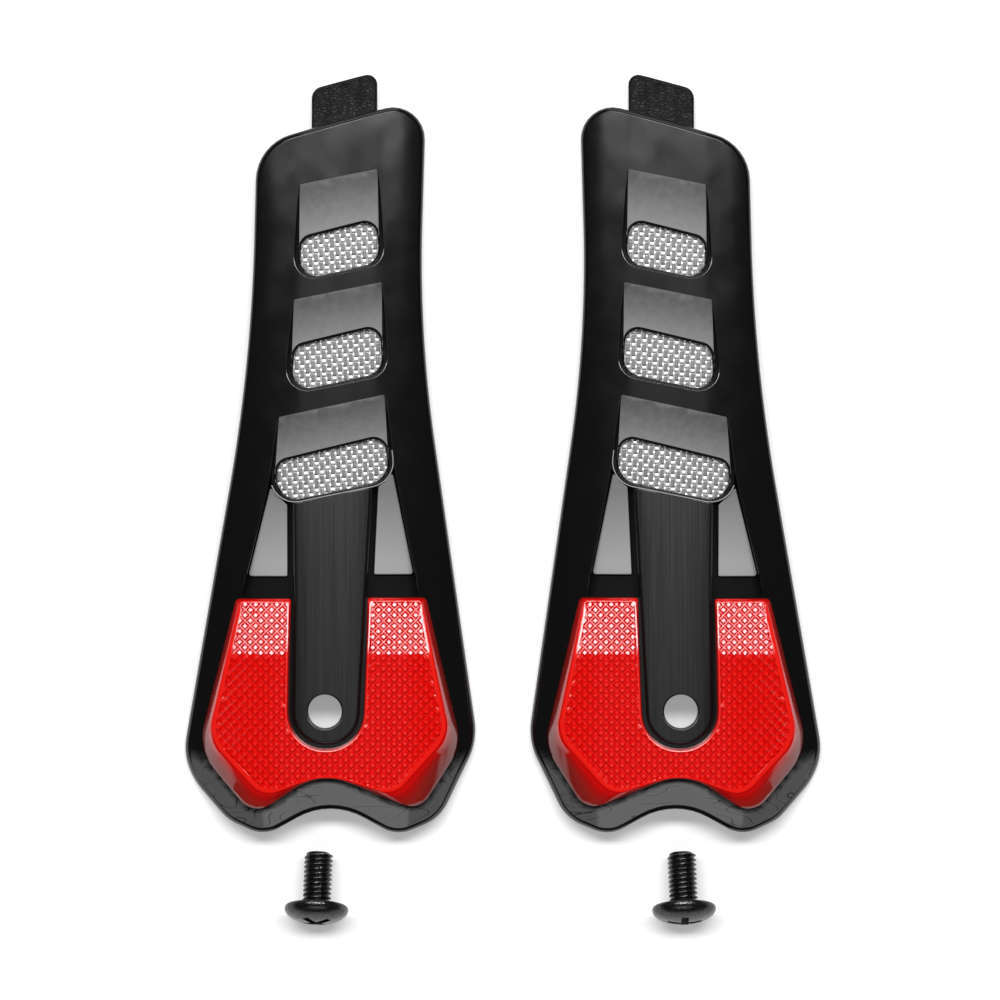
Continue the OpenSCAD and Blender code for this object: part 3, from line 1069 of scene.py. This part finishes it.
def build_screw(side, recess_turn):
    screw = screw_blank()
    for turn in (0, 90):
        cut_out(screw, recess_cutter(recess_turn + turn))
    pin = MOUNTS["screw_thread_" + side]
    # The mount's axis points the other way along the screw
    up = -Vector(pin["axis"])
    x_axis = Vector((1, 0, 0)) - up * up.x
    x_axis.normalize()
    y_axis = up.cross(x_axis)
    turned = Matrix((x_axis, y_axis, up)).transposed().to_4x4()
    middle = Vector(pin["pos_m"])
    smooth(screw, SCREW_ANGLE)
    screw.data.transform(Matrix.Translation(middle) @ turned @ Matrix.Scale(MM, 4)
                         @ Matrix.Translation((0, 0, -SCREW_ANCHOR)))
    screw.name = "screw." + side
    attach(screw, side + "_screw")
    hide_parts("screw_" + side)


build = {"frame": (build_frame(), ["frame"], "plate_black")}
for i, vent in enumerate(VENT_NAMES):
    build[vent + "_scoop"] = (build_scoop(i), [vent + "_scoop"], "scoop_satin")
    build[vent + "_mesh"] = (build_mesh(i), [vent + "_mesh"], "mesh_steel")
build["tray"] = (build_tray(), ["facet_tray"], "plate_black")
build["vent_bead"] = (build_bead(), ["lower_scoop"], "plate_black")
build["facet_outer"] = (build_facet(0), ["facet_tray"], "facet_satin")
build["facet_inner"] = (build_facet(1), ["facet_tray"], "facet_satin")
build["strap"] = (build_strap(), ["strap"], "strap_black")
build["lug"] = (build_lug(), ["strap"], "strap_black")
build["grip_pad"] = (build_pad(), ["grip_pad"], "pad_red")
CROWNED = {"frame": frame_top, "strap": strap_top}
# Edges turning by more than this many degrees stay sharp
SHARP_ANGLE = {"grip_pad": 22}
made = {stem: both_sides(piece, stem, nodes, angle=SHARP_ANGLE.get(stem, 40), height=CROWNED.get(stem))
        for stem, (piece, nodes, slot) in build.items()}

tabs = both_sides(build_tab(), "pull_tab", ["pull_tab", "tab_anchor"], None)
for side, tab in tabs.items():
    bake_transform(tab)

for side, recess_turn in (("left", 38), ("right", 0)):
    build_screw(side, recess_turn)

# ---------------------------------------------------------------- table, light and camera


def matt_white():
    # White acrylic with a weak light behind it: the hole shows it bright, and shadows on it stay pale
    return material("lit_white_acrylic", "#e8e8e8", 0.9, Specular_IOR_Level=0.1,
                    Emission_Color=linear("#ffffff"), Emission_Strength=0.3)[0]


bpy.ops.mesh.primitive_plane_add(size=6)
floor = bpy.context.object
floor.name = "floor"
floor.data.materials.append(matt_white())


def panel_light(name, elevation, towards, distance, size, radiance):
    """A softbox aimed at the parts. towards is +1 for the far side, -1 for the near side."""
    data = bpy.data.lights.new(name, "AREA")
    data.shape = "RECTANGLE"
    data.size, data.size_y = size
    data.energy = radiance * size[0] * size[1] * math.pi
    light = bpy.data.objects.new(name, data)
    bpy.context.scene.collection.objects.link(light)
    a = math.radians(elevation)
    light.location = (0, towards * distance * math.cos(a), distance * math.sin(a))
    light.rotation_euler = (-towards * (math.pi / 2 - a), 0, 0)
    light.visible_camera = False


panel_light("key", elevation=69.5, towards=1, distance=1.2, size=(1.2, 0.22), radiance=18)
panel_light("back", elevation=30, towards=1, distance=1.2, size=(1.0, 0.25), radiance=4)
panel_light("fill", elevation=45, towards=-1, distance=1.2, size=(0.9, 0.5), radiance=1.2)
panel_light("overhead", elevation=84, towards=1, distance=1.4, size=(0.8, 0.4), radiance=0.4)

world = bpy.data.worlds.new("studio")
world.use_nodes = True
world.node_tree.nodes["Background"].inputs[0].default_value = (1, 1, 1, 1)
world.node_tree.nodes["Background"].inputs[1].default_value = 0.04
scene = bpy.context.scene
scene.world = world
scene.view_settings.view_transform = "Standard"

camera_data = bpy.data.cameras.new("camera")
camera_data.lens = 172.8
camera_data.sensor_width = 36
camera = bpy.data.objects.new("camera", camera_data)
camera.location = (-0.0006, 0.00013, 1.008)
scene.collection.objects.link(camera)
scene.camera = camera
